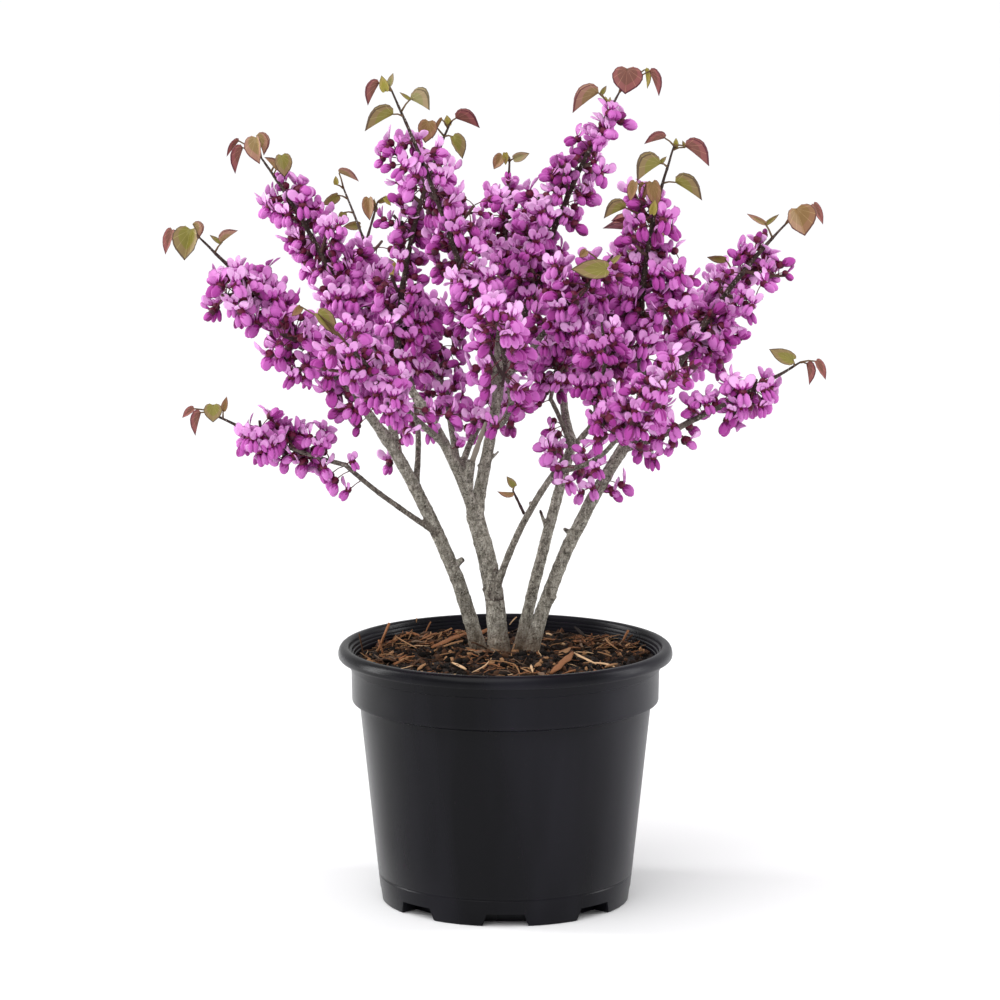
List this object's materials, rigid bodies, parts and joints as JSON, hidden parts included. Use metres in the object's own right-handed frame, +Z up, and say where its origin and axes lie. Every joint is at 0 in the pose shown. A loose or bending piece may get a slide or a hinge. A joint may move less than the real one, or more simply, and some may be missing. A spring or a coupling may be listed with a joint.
{
  "type": "potted redbud tree in blossom",
  "caption": "Small multi-stemmed redbud in full magenta blossom with young heart-shaped leaves at the shoot tips, standing in a round black nursery pot of mulched potting mix.",
  "frame": {"origin": "the middle of the pot's flat underside, where it stands", "axes": "+Z up along the pot's axis; the side with the widest spread of limbs faces -Y; +X to the right of that side"},
  "size_m": [0.4317, 0.3808, 0.5504],
  "materials": {
    "pot": "satin black moulded plastic",
    "potting_mix": "dark bark compost with pale chips",
    "bark": "smooth grey-brown young bark",
    "blossom": "soft magenta petals, bronze and red young leaves"
  },
  "bodies": {
    "root": {"pot": "pot", "potting_mix": "potting_mix", "stem_left": "bark", "stem_centre": "bark", "stem_right_inner": "bark", "stem_right_outer": "bark", "bough_left": "bark", "bough_upper_left": "bark", "bough_low_left": "bark", "bough_back_left": "bark", "bough_centre": "bark", "bough_centre_left": "bark", "bough_stump": "bark", "bough_side": "bark", "bough_right_back": "bark", "bough_low_centre": "bark", "bough_right": "bark", "bough_right_top": "bark", "bough_low_right": "bark", "bough_front_right": "bark", "bough_inner_left": "bark", "bough_front_left": "bark", "bough_far_left": "bark", "bough_top": "bark", "bough_top_left": "bark", "bough_centre_right": "bark", "bough_centre_back": "bark", "bough_front": "bark", "bough_back": "bark", "bough_far_right": "bark", "blossom_left": "blossom", "blossom_upper_left": "blossom", "blossom_low_left": "blossom", "blossom_back_left": "blossom", "blossom_inner_left": "blossom", "blossom_top_left": "blossom", "blossom_front_left": "blossom", "blossom_front": "blossom", "blossom_front_right": "blossom", "blossom_centre_right": "blossom", "blossom_top": "blossom", "blossom_centre_back": "blossom", "blossom_right_top": "blossom", "blossom_right": "blossom", "blossom_low_right": "blossom", "blossom_low_centre": "blossom", "blossom_inner_right": "blossom", "blossom_right_back": "blossom", "blossom_far_right": "blossom", "blossom_far_left": "blossom", "blossom_back": "blossom"}
  },
  "joints": []
}
